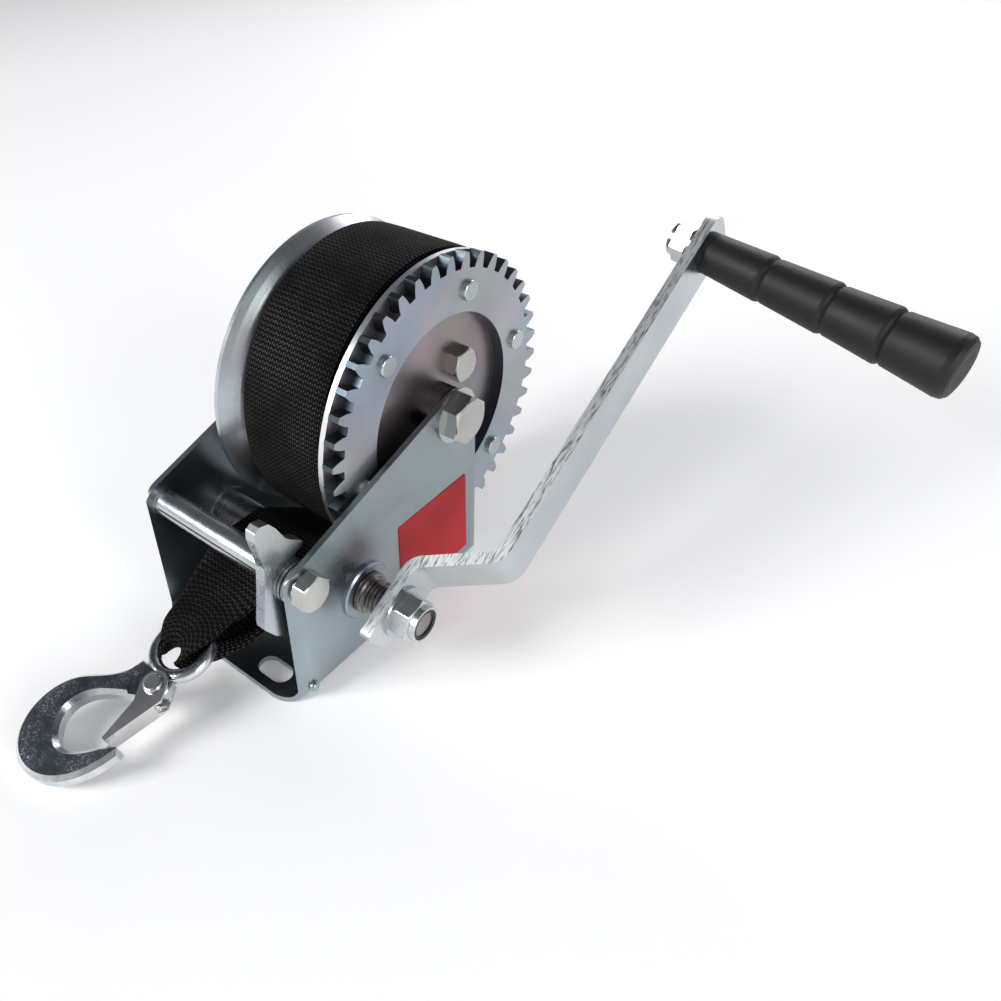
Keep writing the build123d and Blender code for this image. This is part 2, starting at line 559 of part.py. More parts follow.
write("drum_hub", rod(-INNER + 0.6, INNER - 0.6, HUB_RADIUS, AXLE_Y, AXLE_Z, SLEEVE_RADIUS + RUNNING_FIT))
write("drum_flange_left", make_left_flange())
write("drum_flange_right", make_right_flange())
write("drum_gear", make_gear())
write("gear_rivets", *[make_rivet(y, z) for y, z in rivet_places()])
anchor_y, anchor_z = anchor_place()
anchor_left = FLANGE_LEFT + 1.3 - FLANGE_SHEET
anchor_bolt = rod(anchor_left - 9, GEAR_INNER_FACE, ANCHOR_RADIUS, anchor_y, anchor_z)
anchor_bolt += hexagon(GEAR_INNER_FACE, GEAR_INNER_FACE + 6.4, 16, anchor_y, anchor_z, 8)
write("strap_anchor_bolt", anchor_bolt)
anchor_nut = hexagon(anchor_left, anchor_left - 8, 16, anchor_y, anchor_z)
write("strap_anchor_nut", anchor_nut - rod(-60, 0, ANCHOR_RADIUS, anchor_y, anchor_z))
write("strap_roll", rod(ROLL_LEFT, ROLL_RIGHT, ROLL_RADIUS, AXLE_Y, AXLE_Z, ROLL_CORE))

write("pinion_shaft", make_pinion_shaft())
write("pinion_gear", make_pinion())
write("pinion_bush_right", make_bush(1))
write("pinion_bush_left", make_bush(-1))
write("shaft_circlip", make_circlip())

write("pawl", make_pawl())
pawl_bolt = rod(-FRAME_HALF - 1.4, FRAME_HALF, PIN_RADIUS, PAWL_Y, PAWL_Z)
pawl_bolt += rod(FRAME_HALF, FRAME_HALF + 1.0, 7.9, PAWL_Y, PAWL_Z)
pawl_bolt += rod(-FRAME_HALF - 1.4, -FRAME_HALF, 6.4, PAWL_Y, PAWL_Z)
write("pawl_bolt", pawl_bolt + hexagon(FRAME_HALF + 1.0, FRAME_HALF + 7.6, 16.0, PAWL_Y, PAWL_Z, 14))
write("pawl_spacer", make_spacer())
washer_bore = PIN_RADIUS + 0.2
pawl_washers = [rod(x, x + 1.3, 9.6, PAWL_Y, PAWL_Z, washer_bore) for x in (42.4, INNER - 1.3)]
write("pawl_washers", *pawl_washers)
write("pawl_spring_washer", rod(43.7, INNER - 1.3, 8.6, PAWL_Y, PAWL_Z, washer_bore))

write("crank_arm", make_crank())
write("crank_washer", rod(HUB_FACE, 73.5, 12.6, PINION_Y, PINION_Z, THREAD_RADIUS + 0.1))
write("crank_nut", shaft_nut())
write("crank_nut_insert", rod(83.4, 85.2, 7.6, PINION_Y, PINION_Z, THREAD_RADIUS))
write("grip", make_grip())
write("grip_cap", grip_rod(GRIP_BOLT_HEAD[1] + 0.6, GRIP_LENGTH, CAP_RADIUS))
write("grip_bolt", make_grip_bolt())
write("grip_wedge_outer", make_wedge(True))
write("grip_wedge_inner", make_wedge(False))
write("grip_nut", lock_nut(-8.4, -16.6, -19.4, 19.0) - grip_rod(-30, 0, THREAD_RADIUS))

write("hook_body", make_hook())
write("hook_latch", make_latch())
write("latch_rivet", make_latch_rivet())
write("latch_spring", make_latch_spring())
write("strap_tail", make_tail())
write("strap_loop", make_strap_loop())
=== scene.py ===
import json
import math

import bmesh
import bpy
from mathutils import Matrix, Vector


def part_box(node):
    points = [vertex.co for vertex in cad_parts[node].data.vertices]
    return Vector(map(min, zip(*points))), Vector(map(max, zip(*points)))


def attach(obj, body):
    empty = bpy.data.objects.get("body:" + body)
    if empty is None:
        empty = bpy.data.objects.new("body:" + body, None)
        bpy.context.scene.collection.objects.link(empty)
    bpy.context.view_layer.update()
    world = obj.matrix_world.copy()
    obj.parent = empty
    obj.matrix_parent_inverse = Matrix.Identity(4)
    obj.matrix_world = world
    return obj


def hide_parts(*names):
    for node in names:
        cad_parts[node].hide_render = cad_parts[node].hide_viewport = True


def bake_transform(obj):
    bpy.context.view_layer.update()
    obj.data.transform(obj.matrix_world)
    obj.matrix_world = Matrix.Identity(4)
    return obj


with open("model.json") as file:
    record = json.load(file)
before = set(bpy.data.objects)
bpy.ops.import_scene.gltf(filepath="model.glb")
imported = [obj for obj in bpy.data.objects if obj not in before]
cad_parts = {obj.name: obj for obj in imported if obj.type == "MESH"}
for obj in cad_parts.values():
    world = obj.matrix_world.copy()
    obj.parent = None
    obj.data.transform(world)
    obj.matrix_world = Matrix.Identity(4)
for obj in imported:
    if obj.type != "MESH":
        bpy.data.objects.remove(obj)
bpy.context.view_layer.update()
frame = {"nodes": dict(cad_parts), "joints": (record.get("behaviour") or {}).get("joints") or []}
MM = 0.001

# ---- places taken from the frame -----------------------------------------------------------
JOINTS = {j["name"]: j for j in frame["joints"]}
AXLE = Vector(JOINTS["drum_spin"]["pos_m"])
SHAFT = Vector(JOINTS["pinion_spin"]["pos_m"])
BAR = Vector(JOINTS["hook_swing"]["pos_m"])
RISE = math.radians(29.2)             # the crank bar's slope
RING_PITCH = math.radians(15)         # the hook's slope


# ---- materials -----------------------------------------------------------------------------
class Nodes:
    """Short names for the node tree of one material."""

    def __init__(self, name):
        self.material = bpy.data.materials.new(name)
        self.material.use_nodes = True
        self.tree = self.material.node_tree
        self.shader = self.tree.nodes["Principled BSDF"]
        self.place = self.add("ShaderNodeTexCoord").outputs["Object"]

    def add(self, kind, **settings):
        node = self.tree.nodes.new(kind)
        for key, value in settings.items():
            setattr(node, key, value)
        return node

    def link(self, a, b):
        self.tree.links.new(a, b)

    def put(self, socket, value):
        if hasattr(value, "is_output"):
            self.link(value, socket)
        else:
            socket.default_value = value

    def math(self, operation, *values, clamp=False):
        node = self.add("ShaderNodeMath", operation=operation, use_clamp=clamp)
        for socket, value in zip(node.inputs, values):
            self.put(socket, value)
        return node.outputs[0]

    def noise(self, scale, detail=3.0, rough=0.55, stretch=None, vector=None):
        source = vector or self.place
        if stretch:
            mapping = self.add("ShaderNodeMapping")
            mapping.inputs["Scale"].default_value = stretch
            self.link(source, mapping.inputs["Vector"])
            source = mapping.outputs[0]
        node = self.add("ShaderNodeTexNoise")
        node.inputs["Scale"].default_value = scale
        node.inputs["Detail"].default_value = detail
        node.inputs["Roughness"].default_value = rough
        self.link(source, node.inputs["Vector"])
        return node.outputs["Fac"]

    def ramp(self, value, *stops):
        node = self.add("ShaderNodeValToRGB")
        ramp = node.color_ramp
        while len(ramp.elements) < len(stops):
            ramp.elements.new(0.5)
        for element, (position, color) in zip(ramp.elements, stops):
            element.position = position
            element.color = (*color, 1.0) if hasattr(color, "__len__") else (color, color, color, 1.0)
        self.link(value, node.inputs[0])
        return node.outputs[0]

    def mix(self, share, a, b, blend="MIX"):
        node = self.add("ShaderNodeMix", data_type="RGBA", blend_type=blend)
        for key, value in ((0, share), (6, a), (7, b)):
            if isinstance(value, tuple) and len(value) == 3:
                value = (*value, 1.0)
            self.put(node.inputs[key], value)
        return node.outputs[2]

    def bump(self, height, strength, distance, below=None):
        node = self.add("ShaderNodeBump")
        node.inputs["Strength"].default_value = strength
        node.inputs["Distance"].default_value = distance
        self.link(height, node.inputs["Height"])
        if below is not None:
            self.link(below, node.inputs["Normal"])
        return node.outputs[0]

    def facing(self, axis):
        """How squarely the surface faces an axis of the object, 0 to 1."""
        turn = self.add(
            "ShaderNodeVectorTransform", vector_type="NORMAL", convert_from="WORLD", convert_to="OBJECT",
        )
        self.link(self.add("ShaderNodeNewGeometry").outputs["Normal"], turn.inputs[0])
        across = self.add("ShaderNodeVectorMath", operation="DOT_PRODUCT")
        self.link(turn.outputs[0], across.inputs[0])
        across.inputs[1].default_value = axis
        return self.math("ABSOLUTE", across.outputs["Value"])

    def finish(self, color, rough, normal=None, **constants):
        self.put(self.shader.inputs["Base Color"], color)
        self.put(self.shader.inputs["Roughness"], rough)
        if normal is not None:
            self.link(normal, self.shader.inputs["Normal"])
        for key, value in constants.items():
            self.shader.inputs[key.replace("_", " ")].default_value = value
        return self.material


def zinc(name, dark, light, rough=0.3, tint=0.0, spots=0.2, grain=None, painted_side_light=None):
    """Bright zinc plate: cloudy tone, a little rainbow tint, fine scratches and small spots, and where
    given a painted side colour (painted light) on surfaces not facing X.
    """
    n = Nodes(name)
    cloud = n.noise(22.0, 4.0)
    color = n.ramp(cloud, (0.3, dark), (0.7, light))
    if tint:
        hue = n.ramp(
            n.noise(17.0, 1.0), (0.30, (0.52, 0.72, 0.66)), (0.43, (0.76, 0.72, 0.58)),
            (0.52, (0.78, 0.54, 0.62)), (0.62, (0.56, 0.54, 0.80)), (0.74, (0.54, 0.72, 0.72)),
        )
        hue = n.mix(1.0, hue, (1.35, 1.35, 1.35), "MULTIPLY")
        color = n.mix(tint, color, n.mix(1.0, color, hue, "MULTIPLY"))
    fine = n.noise(900.0, 2.0)
    color = n.mix(n.math("MULTIPLY", n.ramp(fine, (0.60, 0.0), (0.75, 1.0)), spots), color, light)
    # Painted light: surfaces not facing the object's X axis take the given side colour, a painted dark
    # reflection on the gear's tooth flanks and a painted highlight on the right flange's rim.
    if painted_side_light:
        color = n.mix(n.ramp(n.facing((1.0, 0.0, 0.0)), (0.50, 1.0), (0.70, 0.0)), color, painted_side_light)
    scratch = n.noise(260.0, 2.0, stretch=grain or (1.0, 9.0, 1.0))
    shine = n.math("MULTIPLY_ADD", n.math("ADD", cloud, scratch), 0.16, rough - 0.16)
    normal = n.bump(scratch, 0.05, 0.0004, n.bump(n.noise(60.0, 2.0), 0.10, 0.0010))
    return n.finish(color, shine, normal, Metallic=1.0)


def sheared(name):
    """The crank's flat bar: smooth broad faces, and edges with the torn, streaky look of sheared bar."""
    n = Nodes(name)
    edge = n.ramp(n.facing((0.0, -math.sin(RISE), math.cos(RISE))), (0.80, 0.0), (0.92, 1.0))
    place = n.add("ShaderNodeMapping")
    place.inputs["Rotation"].default_value = (-RISE, 0.0, 0.0)
    n.link(n.place, place.inputs["Vector"])
    streak = n.noise(1700.0, 3.0, stretch=(1.0, 0.10, 1.0), vector=place.outputs[0])
    cloud = n.noise(24.0, 4.0)
    face = n.ramp(cloud, (0.3, (0.50, 0.55, 0.58)), (0.7, (0.62, 0.66, 0.68)))
    torn = n.ramp(
        streak, (0.36, (0.20, 0.22, 0.23)), (0.44, (0.72, 0.74, 0.75)), (0.52, (0.97, 0.98, 0.98)),
    )
    color = n.mix(edge, face, torn)
    rough = n.math("MULTIPLY_ADD", edge, 0.22, n.math("MULTIPLY_ADD", cloud, 0.14, 0.20))
    height = n.math("MULTIPLY", streak, edge)
    normal = n.bump(height, 0.22, 0.0006, n.bump(n.noise(50.0, 2.0), 0.06, 0.0010))
    return n.finish(color, rough, normal, Metallic=1.0)


def forged(name):
    """The hook: a plated forging, pitted on its flat faces. Its flat faces are painted dark, a painted
    reflection of a dark surround, and its rounded edges painted pale, a painted highlight.
    """
    n = Nodes(name)
    # flat marks the faces square to the hook's plane: they take the dark tone (painted reflection), all
    # other faces the pale tone (painted highlight).
    flat = n.ramp(n.facing((0.0, -math.sin(RING_PITCH), math.cos(RING_PITCH))), (0.90, 0.0), (0.975, 1.0))
    pits = n.noise(900.0, 4.0, 0.75)
    cloud = n.noise(75.0, 4.0)
    dark = n.ramp(cloud, (0.32, (0.13, 0.155, 0.19)), (0.68, (0.30, 0.33, 0.375)))
    specks = n.ramp(pits, (0.52, 0.0), (0.60, 1.0))
    speck = n.math("MULTIPLY", specks, n.ramp(cloud, (0.40, 0.1), (0.62, 0.95)))
    painted_highlight_edges = n.ramp(cloud, (0.3, (0.50, 0.53, 0.56)), (0.7, (0.84, 0.86, 0.88)))
    color = n.mix(flat, painted_highlight_edges, n.mix(speck, dark, (0.80, 0.82, 0.84)))
    rough = n.math("MULTIPLY_ADD", pits, 0.20, 0.12)
    height = n.math("MULTIPLY", pits, n.math("MULTIPLY_ADD", flat, 0.7, 0.3))
    normal = n.bump(height, 0.30, 0.0004, n.bump(cloud, 0.12, 0.0010))
    return n.finish(color, rough, normal, Metallic=1.0)


def plastic(name, color, rough, grain=900.0, strength=0.12):
    n = Nodes(name)
    fine = n.noise(grain, 3.0, 0.6)
    cloud = n.noise(45.0, 4.0)
    scuff = n.ramp(n.noise(380.0, 2.0, stretch=(1.0, 3.0, 2.0)), (0.66, 0.0), (0.80, 0.25))
    worn = tuple(min(1.0, c * 2.2 + 0.02) for c in color)
    base = n.mix(n.math("MULTIPLY", cloud, 0.5), color, tuple(c * 1.6 for c in color))
    shine = n.math("MULTIPLY_ADD", cloud, 0.20, rough - 0.08)
    normal = n.bump(fine, strength, 0.0003, n.bump(cloud, 0.08, 0.0012))
    return n.finish(n.mix(scuff, base, worn), shine, normal, Specular_IOR_Level=0.32)


def sticker(name):
    """A plain red label with a faint print grain."""
    n = Nodes(name)
    cloud = n.noise(40.0, 3.0)
    base = n.ramp(cloud, (0.3, (0.46, 0.014, 0.020)), (0.7, (0.55, 0.022, 0.028)))
    grain = n.noise(1500.0, 2.0)
    color = n.mix(n.math("MULTIPLY", grain, 0.25), base, (0.42, 0.02, 0.03))
    shine = n.math("MULTIPLY_ADD", cloud, 0.15, 0.45)
    return n.finish(color, shine, n.bump(grain, 0.04, 0.0002), Specular_IOR_Level=0.25)


def woven(name):
    """Black webbing. The weave follows the strap: u across it and v along it, both in metres."""
    n = Nodes(name)
    split = n.add("ShaderNodeSeparateXYZ")
    n.link(n.add("ShaderNodeUVMap", uv_map="strap").outputs[0], split.inputs[0])
    u = n.math("DIVIDE", split.outputs[0], 0.00135)
    column = n.math("FLOOR", u)
    lag = n.math("MULTIPLY", n.math("MODULO", column, 2.0), 0.22)
    v = n.math("ADD", n.math("DIVIDE", split.outputs[1], 0.0023), lag)

    def dome(value):
        x = n.math("MULTIPLY_ADD", n.math("FRACT", value), 2.0, -1.0)
        return n.math("SUBTRACT", 1.0, n.math("MULTIPLY", x, x))

    height = n.math("MULTIPLY", n.math("POWER", dome(u), 0.6), n.math("MULTIPLY_ADD", dome(v), 0.75, 0.25))
    fluff = n.noise(2400.0, 3.0)
    patch = n.ramp(n.noise(24.0, 3.0), (0.35, 0.25), (0.65, 1.0))
    # Painted highlight: the crests of the weave domes are painted lighter, in patches; light is this
    # painted highlight mask and the pale colour below is the painted highlight colour.
    painted_crest_highlight = n.math("POWER", height, 4.0)
    light = n.math("MULTIPLY", n.math("MULTIPLY", painted_crest_highlight, n.ramp(fluff, (0.38, 0.1), (0.62, 1.0))), patch)
    color = n.mix(light, (0.0015, 0.0013, 0.0013), (0.135, 0.131, 0.126))
    rough = n.math("MULTIPLY_ADD", fluff, 0.20, 0.62)
    tall = n.math("ADD", height, n.math("MULTIPLY", fluff, 0.15))
    return n.finish(color, rough, n.bump(tall, 0.9, 0.0006), Specular_IOR_Level=0.06)


GREY, PALE = (0.30, 0.36, 0.385), (0.39, 0.455, 0.48)
M = {
    "frame": zinc("zinc_frame", GREY, PALE, 0.32, tint=0.12),
    "flange": zinc("zinc_flange", (0.40, 0.44, 0.46), (0.56, 0.60, 0.62), 0.30, tint=0.12),
    # The gear's tooth flanks get a near-black side colour: painted dark reflection.
    "gear": zinc("zinc_gear", (0.38, 0.43, 0.46), (0.50, 0.55, 0.58), 0.34, tint=0.36,
                 painted_side_light=(0.08, 0.10, 0.12)),
    # The right flange's rim and flare get a pale side colour: painted highlight.
    "recess": zinc("zinc_recess", (0.27, 0.25, 0.25), (0.42, 0.39, 0.385), 0.34, tint=0.40,
                   painted_side_light=(0.66, 0.70, 0.72)),
    "pawl": zinc("zinc_pawl", (0.46, 0.51, 0.53), (0.60, 0.64, 0.66), 0.30, tint=0.2),
    "bolt": zinc("zinc_bolt", (0.50, 0.51, 0.49), (0.66, 0.67, 0.63), 0.24, spots=0.1, tint=0.10),
    "small": zinc("zinc_small", (0.46, 0.49, 0.50), (0.66, 0.68, 0.68), 0.26),
    "tube": zinc("zinc_tube", (0.36, 0.40, 0.43), (0.52, 0.56, 0.58), 0.26, spots=0.1,
                 grain=(1.0, 3.0, 3.0)),
    "turned": zinc("turned_steel", (0.17, 0.155, 0.15), (0.33, 0.30, 0.29), 0.28, grain=(12.0, 1.0, 1.0)),
    "spring": zinc("spring_steel", (0.14, 0.15, 0.16), (0.28, 0.29, 0.30), 0.28),
    "latch": zinc("latch_steel", (0.62, 0.62, 0.61), (0.86, 0.85, 0.83), 0.20, spots=0.3),
    "crank": sheared("zinc_crank"),
    "hook": forged("forged_zinc"),
    "grip": plastic("grip_black", (0.008, 0.008, 0.008), 0.50, 1300.0, 0.25),
    "cap": plastic("cap_black", (0.006, 0.006, 0.006), 0.55, 1300.0, 0.25),
    "nylon": plastic("nylon_ring", (0.010, 0.012, 0.020), 0.38),
    "label": sticker("label_red"),
    "strap": woven("black_webbing"),
}
WEAR = {
    "frame": "frame", "label": "label", "axle_bolt": "bolt", "axle_washers": "small", "axle_nut": "small",
    "axle_sleeve": "turned", "drum_hub": "turned", "drum_flange_left": "flange",
    "drum_flange_right": "recess", "drum_gear": "gear", "gear_rivets": "small",
    "strap_anchor_bolt": "bolt", "strap_anchor_nut": "small", "strap_roll": "strap",
    "pinion_shaft": "turned", "pinion_gear": "gear", "pinion_bush_right": "frame",
    "pinion_bush_left": "frame", "shaft_circlip": "spring", "pawl": "pawl", "pawl_bolt": "bolt",
    "pawl_spacer": "tube", "pawl_washers": "small", "pawl_spring_washer": "spring",
    "crank_arm": "crank", "crank_washer": "pawl", "crank_nut": "small", "crank_nut_insert": "nylon",
    "grip": "grip", "grip_cap": "cap", "grip_bolt": "bolt", "grip_wedge_outer": "grip",
    "grip_wedge_inner": "small", "grip_nut": "small", "hook_body": "hook", "hook_latch": "latch",
    "latch_rivet": "small", "latch_spring": "small", "strap_tail": "strap", "strap_loop": "strap",
}
for node, key in WEAR.items():
    slots = frame["nodes"][node].data.materials
    slots.clear()
    slots.append(M[key])


# ---- webbing -------------------------------------------------------------------------------
WIDTH, THICK = 48.0 * MM, 1.5 * MM
COLUMNS = 24                          # faces across the strap
X = Vector((1, 0, 0))


def strap_mesh(name, stations):
    """A closed band. A station is (points from edge to edge, outward normals)."""
    mesh = bpy.data.meshes.new(name)
    grid = bmesh.new()
    layer = grid.loops.layers.uv.new("strap")
    rings = []
    for line, normals in stations:
        top = [grid.verts.new(p + n * THICK / 2) for p, n in zip(line, normals)]
        low = [grid.verts.new(p - n * THICK / 2) for p, n in zip(line, normals)]
        last = grid.verts.new(line[-1] + (line[-1] - line[-2]).normalized() * THICK * 0.4)
        first = grid.verts.new(line[0] + (line[0] - line[1]).normalized() * THICK * 0.4)
        rings.append(top + [last] + low[::-1] + [first])
    count = len(stations[0][0])
    across = [WIDTH * i / (count - 1) for i in range(count)]
    us = across + [WIDTH + THICK / 2] + across[::-1] + [-THICK / 2, 0.0]
    along = 0.0
    for k in range(len(rings) - 1):
        step = (stations[k + 1][0][count // 2] - stations[k][0][count // 2]).length
        a, b = rings[k], rings[k + 1]
        for i in range(len(a)):
            j = (i + 1) % len(a)
            face = grid.faces.new((a[i], a[j], b[j], b[i]))
            corners = ((i, 0.0), (i + 1, 0.0), (i + 1, step), (i, step))
            for loop, (column, ahead) in zip(face.loops, corners):
                loop[layer].uv = (us[column], along + ahead)
        along += step
    grid.faces.new(rings[0][::-1])
    grid.faces.new(rings[-1])
    bmesh.ops.recalc_face_normals(grid, faces=grid.faces)
    grid.to_mesh(mesh)
    grid.free()
    mesh.polygons.foreach_set("use_smooth", [True] * len(mesh.polygons))
    mesh.materials.append(M["strap"])
    piece = bpy.data.objects.new(name, mesh)
    bpy.context.collection.objects.link(piece)
    return piece, along


ROLL_LOW, ROLL_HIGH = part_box("strap_roll")
ROLL_RADIUS = (ROLL_HIGH.z - ROLL_LOW.z) / 2
CORE_GAP = 18.25 * MM                  # from the hub to the first turn, which goes round the anchor bolt
CORE_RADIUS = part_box("drum_hub")[1].z - AXLE.z + CORE_GAP
TURNS = 24
STEPS_PER_TURN = 90
PITCH = (ROLL_RADIUS - CORE_RADIUS) / (TURNS + 0.5)
LEAVES_AT = -112.0                    # where on the roll the strap's free part starts, in degrees


def bump_at(angle, centre, spread):
    gap = (angle - centre + 180) % 360 - 180
    return math.exp(-((gap / spread) ** 2))


def make_roll():
    """The wound webbing as one spiral band. Its turns lie unevenly, as a strap wound by hand does."""
    stations = []
    for i in range(TURNS * STEPS_PER_TURN + 1):
        turns = i / STEPS_PER_TURN
        share = (turns / TURNS) ** 2
        angle = LEAVES_AT - 360 * (turns - TURNS)
        radius = CORE_RADIUS + PITCH * (turns + 0.5)
        radius += share * (1.6 * bump_at(angle, 105, 42) - 2.2 * bump_at(angle, 200, 48)) * MM
        a = math.radians(angle)
        radial = Vector((0, math.cos(a), math.sin(a)))
        centre = (6.4 + share * (2.6 * bump_at(angle, 200, 60) - 0.6) + 0.35 * math.sin(turns * 5.3)) * MM
        line = [
            AXLE + X * (centre + WIDTH * (k / 6 - 0.5)) + radial * (radius - 0.25 * MM * (k in (0, 6)))
            for k in range(7)
        ]
        stations.append((line, [radial] * 7))
    roll, length = strap_mesh("webbing_roll", stations)
    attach(roll, "drum")
    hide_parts("strap_roll")


RING_IN = Vector((0, math.cos(RING_PITCH), math.sin(RING_PITCH)))     # from the eye to its rear bar
RING_UP = Vector((0, -math.sin(RING_PITCH), math.cos(RING_PITCH)))
RING_RADIUS = 13.3 * MM                # of the eye's centre line


def folded(s, flat, depth, turn, looser):
    """Across the strap: (sideways, down) of the point s from the middle, with both edges folded under.
    The fold on the looser side is nearly twice as deep."""
    side = 1 if s > 0 else -1
    s = abs(s)
    if s <= flat / 2:
        return side * s, 0.0
    depth *= 1.9 if looser == side else 1.0
    bend = depth / 2
    beyond = s - flat / 2
    angle = min(beyond / bend, turn)
    rest = max(0.0, beyond - bend * turn)
    out = bend * math.sin(angle) + rest * math.cos(turn)
    down = bend * (1 - math.cos(angle)) + rest * math.sin(turn)
    return side * (flat / 2 + out), down


def tail_station(centre, normal, flat, depth, turn, radius, push):
    """One line across the tail. It bends to radius round the hook's eye, and bunches forward by push."""
    line = []
    for k in range(COLUMNS + 1):
        side, down = folded(WIDTH * (k / COLUMNS - 0.5), flat, depth, turn, -1)
        forward = 0.0
        if radius:
            side, forward = radius * math.sin(side / radius), radius * (1 - math.cos(side / radius))
        forward += push * (1.0 + 0.30 * side / (10 * MM))
        line.append(centre + X * side - RING_IN * forward - normal * down)
    normals = []
    heading = X.cross(normal)
    for k in range(COLUMNS + 1):
        run = line[min(k + 1, COLUMNS)] - line[max(k - 1, 0)]
        normals.append(heading.cross(run).normalized() if k else None)
    normals[0] = normals[1]
    if normals[COLUMNS // 2].dot(normal) < 0:
        normals = [-n for n in normals]
    return line, normals


def smooth(value):
    value = min(1.0, max(0.0, value))
    return value * value * (3 - 2 * value)


def make_tail():
    """The free strap: off the roll, over the shaft, through the hook's eye, and back under itself."""
    path = []
    radius = ROLL_RADIUS + 2.4 * MM
    for i in range(5):
        a = math.radians(LEAVES_AT - 2.0 * i)
        path.append((5.0, AXLE.y + radius * math.cos(a), AXLE.z + radius * math.sin(a)))
    over = 11.2 * MM
    for i in range(6):
        a = math.radians(62 + 9.0 * i)
        path.append((3.5 - 0.6 * i, SHAFT.y + over * math.cos(a), SHAFT.z + over * math.sin(a)))
    path += [(x, y * MM, z * MM) for x, y, z in (
        (0.0, -36.0, 49.0), (-0.6, -44.0, 47.6), (-1.2, -52.0, 45.2), (-2.0, -60.0, 42.0),
        (-2.6, -68.0, 38.9),
    )]
    for degrees, reach in ((72, 7.0), (95, 6.6), (120, 6.8), (145, 7.6), (170, 8.2), (195, 8.0), (220, 7.6),
                           (245, 7.4), (268, 7.6)):
        a = math.radians(degrees)
        p = BAR + (RING_IN * math.cos(a) + RING_UP * math.sin(a)) * reach * MM
        path.append((-2.4, p.y, p.z))
    path += [(x, y * MM, z * MM) for x, y, z in (
        (-1.5, -72.0, 19.2), (-0.5, -65.0, 20.6), (0.0, -58.0, 25.0), (0.0, -51.0, 32.0),
        (0.0, -45.0, 39.5), (0.0, -39.5, 44.8), (0.0, -34.0, 46.9),
    )]
    curve = bpy.data.curves.new("guide", "CURVE")
    curve.dimensions = "3D"
    spline = curve.splines.new("NURBS")
    spline.points.add(len(path) - 1)
    for point, (x, y, z) in zip(spline.points, path):
        point.co = (x * MM, y, z, 1)
    spline.order_u, spline.use_endpoint_u, spline.resolution_u = 4, True, 4
    guide = bpy.data.objects.new("guide", curve)
    traced = bpy.data.meshes.new_from_object(guide)
    centres = [v.co.copy() for v in traced.vertices]
    bpy.data.objects.remove(guide)
    bpy.data.curves.remove(curve)
    bpy.data.meshes.remove(traced)
    stations = []
    for k, centre in enumerate(centres):
        run = centres[min(k + 1, len(centres) - 1)] - centres[max(k - 1, 0)]
        run.x = 0
        normal = run.normalized().cross(X)
        arm = centre - BAR
        arm.x = 0
        near = 1 - smooth((arm.length - 7.0 * MM) / (34.0 * MM))
        inside = smooth((0.2 - arm.normalized().dot(RING_IN)) / 1.2)
        inside *= 1 - smooth((arm.length - 8 * MM) / (8 * MM))
        if centre.y > -44 * MM:
            near = 0.0
        turn = math.radians(172) * smooth(near * 1.6)
        flat = WIDTH - near * 17.5 * MM - inside * 9.0 * MM
        bend = 0
        if near > 0.30:
            ring = max(6.0 * MM, RING_RADIUS + arm.dot(RING_IN))
            bend = ring / smooth((near - 0.30) / 0.62) if near < 0.92 else ring
        stations.append(tail_station(centre, normal, flat, 2.1 * MM, turn, bend, inside * 4.6 * MM))
    tail, length = strap_mesh("webbing_tail", stations)
    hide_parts("strap_tail", "strap_loop")
    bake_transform(tail)


def turned_piece(name, y, z, profile, material, body):
    """A ring or stud turned about the X direction through (y, z). The profile is (x, radius) points."""
    mesh = bpy.data.meshes.new(name)
    grid = bmesh.new()
    around = 64
    rings = []
    for k in range(around):
        a = 2 * math.pi * k / around
        rings.append([grid.verts.new((x, y + r * math.cos(a), z + r * math.sin(a))) for x, r in profile])
    for k in range(around):
        a, b = rings[k], rings[(k + 1) % around]
        for i in range(len(profile)):
            j = (i + 1) % len(profile)
            grid.faces.new((a[i], a[j], b[j], b[i]))
    bmesh.ops.recalc_face_normals(grid, faces=grid.faces)
    bmesh.ops.bevel(
        grid, geom=[e for e in grid.edges if len(e.link_faces) == 2 and e.calc_face_angle() > 0.5],
        offset=0.15 * MM, segments=2, affect="EDGES", profile=0.5,
    )
    grid.to_mesh(mesh)
    grid.free()
    mesh.polygons.foreach_set("use_smooth", [True] * len(mesh.polygons))
    mesh.materials.append(M[material])
    piece = bpy.data.objects.new(name, mesh)
    bpy.context.collection.objects.link(piece)
    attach(piece, body)


def make_collar():
    """The turned shoulder and rings of the shaft between its bush and the crank."""
    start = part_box("pinion_bush_right")[1].x + 0.4 * MM
    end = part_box("crank_arm")[0].x - 0.4 * MM
    inner = 6.3 * MM
    steps = [(0.0, 10.2), (0.16, 10.2), (0.20, 9.0), (0.30, 9.0)]
    for k in range(4):
        at = 0.34 + 0.16 * k
        steps += [(at, 7.4), (at + 0.03, 8.4), (at + 0.09, 8.4), (at + 0.12, 7.4)]
    outer = [(start + (end - start) * t, r * MM) for t, r in steps]
    profile = [(start, inner)] + outer + [(end, 7.2 * MM), (end, inner)]
    turned_piece("shaft_collar", SHAFT.y, SHAFT.z, profile, "turned", "crank")


NUB_PROFILE = ((-0.6, 0.02), (-0.6, 2.6), (0.9, 2.6), (1.7, 2.2), (2.2, 1.4), (2.4, 0.5), (2.42, 0.02))


def make_nubs():
    """The small pressed studs low on the plates' front corners."""
    low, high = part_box("frame")
    for side, face in (("left", low.x), ("right", high.x)):
        out = 1 if side == "right" else -1
        profile = [
            (face + out * x * MM, r * MM)
            for x, r in NUB_PROFILE
        ]
        turned_piece("plate_nub_" + side, -60.5 * MM, 6.6 * MM, profile, "frame", "frame")


make_roll()
make_tail()
make_collar()
make_nubs()

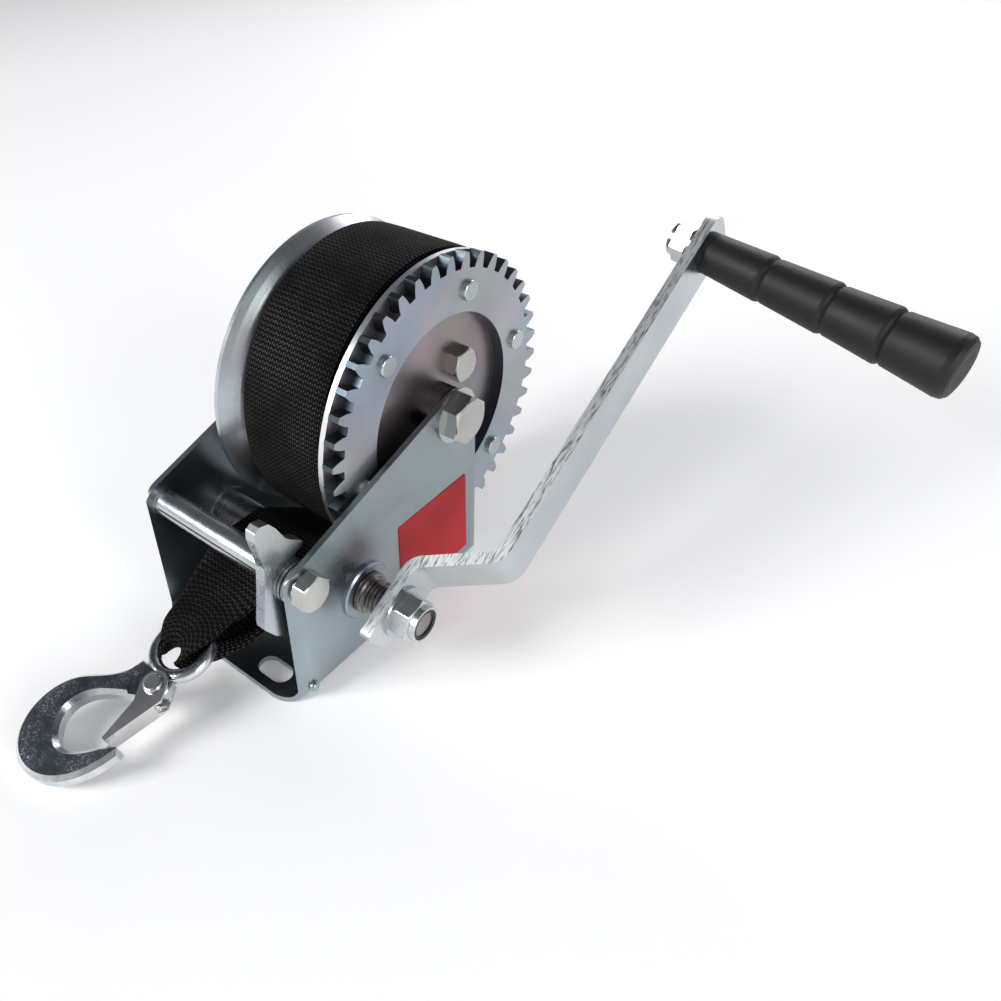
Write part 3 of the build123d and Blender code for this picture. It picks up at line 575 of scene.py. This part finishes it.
# ---- floor, light and camera ---------------------------------------------------------------
floor_mesh = bpy.data.meshes.new("floor")
floor_mesh.from_pydata([(-6, -6, 0), (6, -6, 0), (6, 6, 0), (-6, 6, 0)], [], [(0, 1, 2, 3)])
floor = bpy.data.objects.new("floor", floor_mesh)
floor.location.z = -0.0005
bpy.context.collection.objects.link(floor)
f = Nodes("floor_white")
floor_mesh.materials.append(f.finish(
    f.ramp(f.noise(3.0), (0.0, 0.90), (1.0, 0.93)), 0.9,
    Emission_Color=(1, 1, 1, 1), Emission_Strength=0.16,
))

world = bpy.data.worlds.new("studio")
bpy.context.scene.world = world
world.use_nodes = True
sky = world.node_tree
background = sky.nodes["Background"]
gradient = sky.nodes.new("ShaderNodeValToRGB")
direction = sky.nodes.new("ShaderNodeTexCoord")
divide = sky.nodes.new("ShaderNodeSeparateXYZ")
sky.links.new(direction.outputs["Generated"], divide.inputs[0])
sky.links.new(divide.outputs[2], gradient.inputs[0])
stops = gradient.color_ramp.elements
stops[0].position, stops[0].color = 0.0, (1.0, 1.0, 1.0, 1)
stops[1].position, stops[1].color = 0.55, (0.16, 0.17, 0.19, 1)
sky.links.new(gradient.outputs[0], background.inputs[0])
background.inputs[1].default_value = 0.75


def area(name, place, target, size, power, color=(1, 1, 1)):
    light = bpy.data.lights.new(name, "AREA")
    light.shape = "RECTANGLE"
    light.size, light.size_y = size
    light.energy = power
    light.color = color
    lamp = bpy.data.objects.new(name, light)
    lamp.location = place
    lamp.rotation_euler = (Vector(target) - Vector(place)).to_track_quat("-Z", "Y").to_euler()
    bpy.context.collection.objects.link(lamp)
    return lamp


LOOK_AT = (0.03, 0.0, 0.08)
area("key", (-0.9, -1.7, 1.25), LOOK_AT, (1.0, 0.8), 44)
area("side", (1.6, -0.3, 0.7), LOOK_AT, (0.5, 1.1), 12)
area("back", (-0.2, 1.6, 0.9), LOOK_AT, (1.4, 0.6), 14)

camera = bpy.data.cameras.new("camera")
camera.sensor_width = 36.0
camera.lens = 33.61
camera.shift_x, camera.shift_y = 0.0812, -0.0600
camera.clip_start, camera.clip_end = 0.01, 30
eye = bpy.data.objects.new("camera", camera)
az, el, roll_angle = math.radians(40.61), math.radians(36.07), math.radians(-1.91)
back = Vector((math.sin(az) * math.cos(el), -math.cos(az) * math.cos(el), math.sin(el)))
right = Vector((math.cos(az), math.sin(az), 0))
up = back.cross(right)
right, up = (
    right * math.cos(roll_angle) + up * math.sin(roll_angle),
    up * math.cos(roll_angle) - right * math.sin(roll_angle),
)
turn = Matrix((right, up, back)).transposed().to_4x4()
eye.matrix_world = Matrix.Translation((0.27381, -0.24186, 0.35168)) @ turn
bpy.context.collection.objects.link(eye)
bpy.context.scene.camera = eye
bpy.context.scene.view_settings.view_transform = "Standard"
